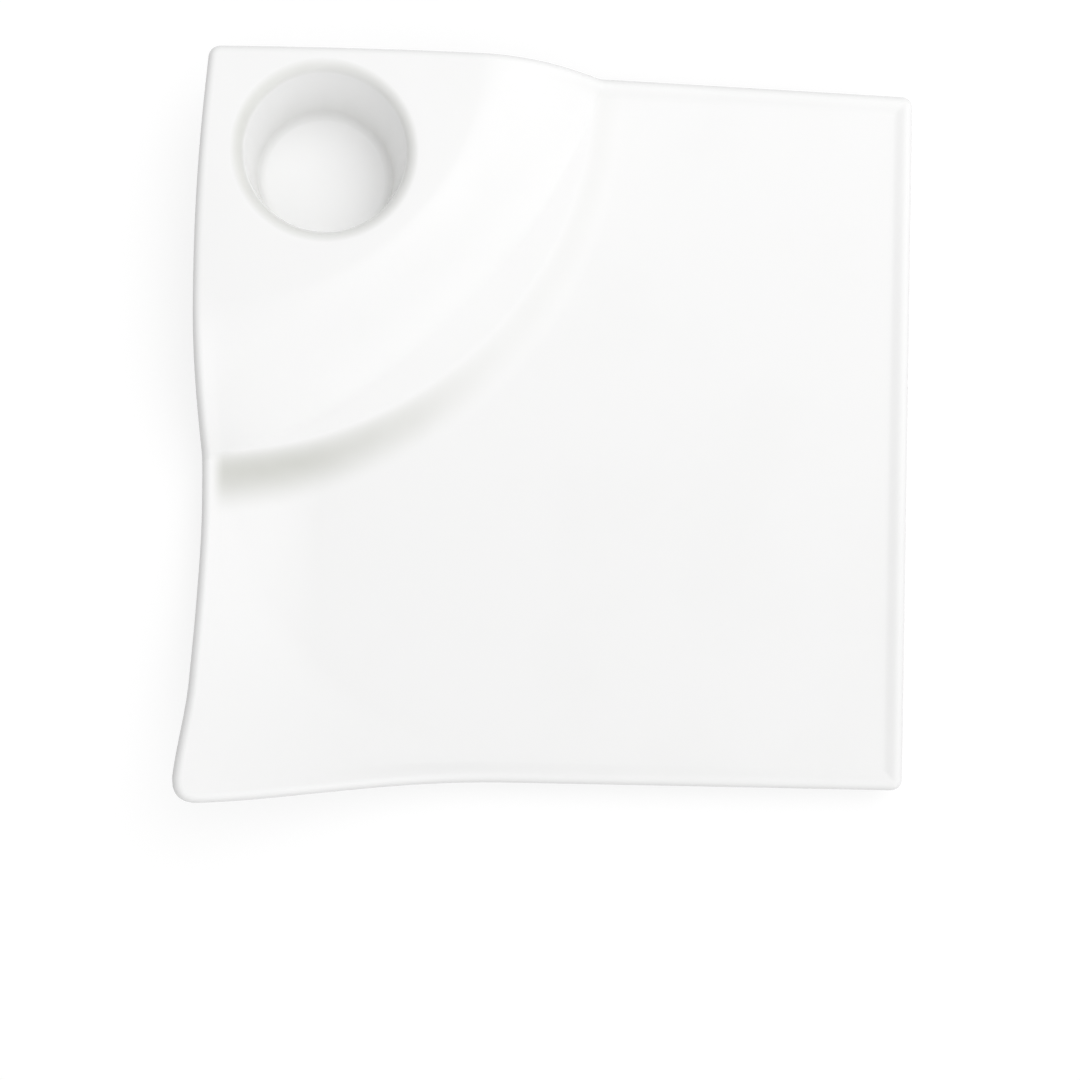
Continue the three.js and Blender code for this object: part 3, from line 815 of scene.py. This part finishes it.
field_foot = complex(WIDTH / 2 - FIELD_FOOT_FROM_RIGHT, -DEPTH / 2 + FIELD_FOOT_FROM_FRONT)
field_ring = ring(field_foot, foot_profile(FIELD_FOOT_R, FIELD_FOOT_TREAD, FIELD_FOOT_ROOT))
well_ring = ring(WELL + WELL_LEAN, foot_profile(WELL_FOOT_R, WELL_FOOT_TREAD, WELL_FOOT_ROOT))
ring_points = np.vstack([field_ring[0], well_ring[0]]) + np.array(BOX_SHIFT)
ring_faces = np.vstack([field_ring[1], well_ring[1] + len(field_ring[0])])
ring_mesh = bpy.data.meshes.new("foot_rings")
ring_mesh.from_pydata(ring_points.tolist(), [], ring_faces.tolist())
ring_mesh.shade_smooth()
foot_rings = bpy.data.objects.new("foot_rings", ring_mesh)
bpy.context.scene.collection.objects.link(foot_rings)
print("foot rings:", len(ring_mesh.polygons), "faces")

# %% Where the glaze ends on the rings
GLAZE_LINE = 1.3 * MM
GLAZE_LINE_SOFT = 1.15
GLAZE_WAVER = 0.7 * MM
WAVER_SCALE = 160
NOISE_MIDDLE = 0.5

biscuit = bpy.data.materials.new("bare_porcelain")
biscuit.use_nodes = True
ring_mesh.materials.append(biscuit)
clay = Wire(biscuit.node_tree)
ring_spot = clay.node("ShaderNodeTexCoord", {}, {}, "Object")
over_table = clay.node("ShaderNodeSeparateXYZ", {}, {0: ring_spot}, "Z")
waver = clay.node("ShaderNodeTexNoise", {}, {"Vector": ring_spot, "Scale": WAVER_SCALE})
wavering = over_table + (waver - NOISE_MIDDLE) * GLAZE_WAVER
glazed = wavering.smooth(GLAZE_LINE, GLAZE_LINE * GLAZE_LINE_SOFT)
print("nodes for the glaze line:", len(biscuit.node_tree.nodes))

# %% Bare porcelain
BARE = (0.83, 0.80, 0.74, 1)
BARE_SPOT = (0.74, 0.70, 0.63, 1)
BARE_ROUGH = 0.8
GLAZED_ROUGH = 0.08
GRAIN_SCALE = 1500
GRAIN_DETAIL = 4
GRAIN_HEIGHT = 0.1 * MM

bare = biscuit.node_tree.nodes["Principled BSDF"]
fine = {"Vector": ring_spot, "Scale": GRAIN_SCALE, "Detail": GRAIN_DETAIL}
grain = clay.node("ShaderNodeTexNoise", {}, fine)
bare_grain = {"Distance": GRAIN_HEIGHT, "Height": grain * (1 - glazed)}
glazed.colour(grain.colour(BARE, BARE_SPOT), GLAZE_WHITE).feed(bare, "Base Color")
blend(BARE_ROUGH, GLAZED_ROUGH, glazed).feed(bare, "Roughness")
clay.node("ShaderNodeBump", {}, bare_grain).feed(bare, "Normal")
print("bare porcelain nodes:", len(biscuit.node_tree.nodes))

# %% [markdown]
# ## Riding on the frame
# The plate has one body. The glazed piece stands for the coat and the two glazed patches beneath, and the
# rings stand for the porcelain, of which only they show.

# %% Tie the pieces to the frame
for piece, slot, nodes in (
    (glazed_plate, "glaze", ("glaze_coat", "field_foot_glaze", "well_foot_glaze")),
    (foot_rings, "biscuit", ("porcelain_body",)),
):
    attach(piece, "root")
    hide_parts(*nodes)
    print(piece.name, "stands for", nodes)

# %% [markdown]
# ## Floor and light
# The plate was photographed on white in very soft light. The floor is pale and takes the shadow, with just
# enough glow for the camera to be white. The light is an even, pale sky with a soft patch of fill at the front
# right, and it is darker low on the left, so faces that lean to the left turn a little grey. Lamps alone could
# light the plate too, but a sky has no edges that the gloss would show.

# %% Floor
FLOOR_SIZE = 6
FLOOR_SIGNS = ((-1, -1), (1, -1), (1, 1), (-1, 1))
FLOOR_PALE = (0.26, 0.26, 0.26, 1)
FLOOR_GLOW = 0.78


def looked_at(wire):
    """1 where the camera looks, straight, by a reflection or through glass, and 0 for other light."""
    rays = ("Is Camera Ray", "Is Glossy Ray", "Is Transmission Ray")
    seen, mirrored, through = (wire.node("ShaderNodeLightPath", {}, {}, ray) for ray in rays)
    return seen + mirrored + through


floor_half = FLOOR_SIZE / 2
floor_corners = [(across * floor_half, along * floor_half, 0) for across, along in FLOOR_SIGNS]
floor_mesh = bpy.data.meshes.new("floor")
floor_mesh.from_pydata(floor_corners, [], [range(len(floor_corners))])
floor = bpy.data.objects.new("floor", floor_mesh)
bpy.context.scene.collection.objects.link(floor)
pale = bpy.data.materials.new("pale_floor")
pale.use_nodes = True
floor_mesh.materials.append(pale)
ground = Wire(pale.node_tree)
glow = ground.node("ShaderNodeEmission", {}, {"Strength": looked_at(ground) * FLOOR_GLOW})
matt = ground.node("ShaderNodeBsdfDiffuse", {}, {"Color": FLOOR_PALE})
both = ground.node("ShaderNodeAddShader", {}, {0: matt, 1: glow})
both.feed(pale.node_tree.nodes["Material Output"], "Surface")
print("floor:", FLOOR_SIZE, "m on a side")

# %% Sky
SKY_WHITE = (1, 1, 1, 1)
SKY_LEVEL = 0.587
SKY_FILL = 0.55
SKY_FILL_WAY = Vector((0.5, -0.8, 0.35)).normalized()
SKY_LOSS = 0.28
SKY_DARK_WAY = Vector((-0.9, 0, -0.3)).normalized()
SKY_SPREAD = (0.35, 0.95)

world = bpy.data.worlds.new("soft_sky")
bpy.context.scene.world = world
world.use_nodes = True
background = world.node_tree.nodes["Background"]
sky = Wire(world.node_tree)
way = sky.node("ShaderNodeTexCoord", {}, {}, "Generated")


def near_way(middle):
    """1 in the middle of a wide soft patch of the sky, 0 outside it."""
    facing = sky.node("ShaderNodeVectorMath", {"operation": "DOT_PRODUCT"}, {0: way, 1: middle}, "Value")
    return facing.smooth(*SKY_SPREAD)


soft_light = SKY_LEVEL + near_way(SKY_FILL_WAY) * SKY_FILL - near_way(SKY_DARK_WAY) * SKY_LOSS
strength = soft_light + (1 - soft_light) * looked_at(sky).math("MINIMUM", 1)
strength.feed(background, "Strength")
background.inputs["Color"].default_value = SKY_WHITE
print("sky nodes:", len(world.node_tree.nodes))

# %% [markdown]
# ## Lamp and camera
# One large lamp, high at the back right, shapes the slopes. A small one would draw hard shadows. The camera
# looks almost straight down, from a little to the left and to the front, with the plate in the upper part of a
# square picture.

# %% Lamp
LAMP_AT = Vector((0.35, 0.5, 1.1))
LAMP_SIZE = 1
LAMP_POWER = 6.2

lamp = bpy.data.lights.new("soft_lamp", "AREA")
lamp.size = LAMP_SIZE
lamp.energy = LAMP_POWER
lamp_object = bpy.data.objects.new("soft_lamp", lamp)
lamp_object.location = LAMP_AT
lamp_object.visible_glossy = False
lamp_object.rotation_euler = (-LAMP_AT).to_track_quat("-Z", "Y").to_euler()
bpy.context.scene.collection.objects.link(lamp_object)
print("lamp:", LAMP_POWER, "W at", LAMP_AT.length, "m from the plate")

# %% Camera
CAMERA_AT = Vector((-0.05295, -0.04965, 0.574))
CAMERA_FORWARD = Vector((0.087, 0.074, -0.994)).normalized()
CAMERA_RIGHT = Vector((0.996, 0.032, 0.089))
PICTURE = 1080
FOCUS_PIXELS = 1593.2
AXIS_PIXEL = (546.0, 452.8)
SENSOR = 36

lens = bpy.data.cameras.new("camera")
lens.sensor_width = SENSOR
lens.lens = FOCUS_PIXELS / PICTURE * SENSOR
lens.shift_x = (PICTURE / 2 - AXIS_PIXEL[0]) / PICTURE
lens.shift_y = (AXIS_PIXEL[1] - PICTURE / 2) / PICTURE
camera = bpy.data.objects.new("camera", lens)
bpy.context.scene.collection.objects.link(camera)
upward = CAMERA_RIGHT.cross(CAMERA_FORWARD).normalized()
right = CAMERA_FORWARD.cross(upward)
camera_turn = Matrix((right, upward, -CAMERA_FORWARD)).transposed().to_4x4()
camera.matrix_world = Matrix.Translation(CAMERA_AT) @ camera_turn
bpy.context.scene.camera = camera
bpy.context.scene.view_settings.view_transform = "Standard"
print("focal length in mm:", lens.lens)
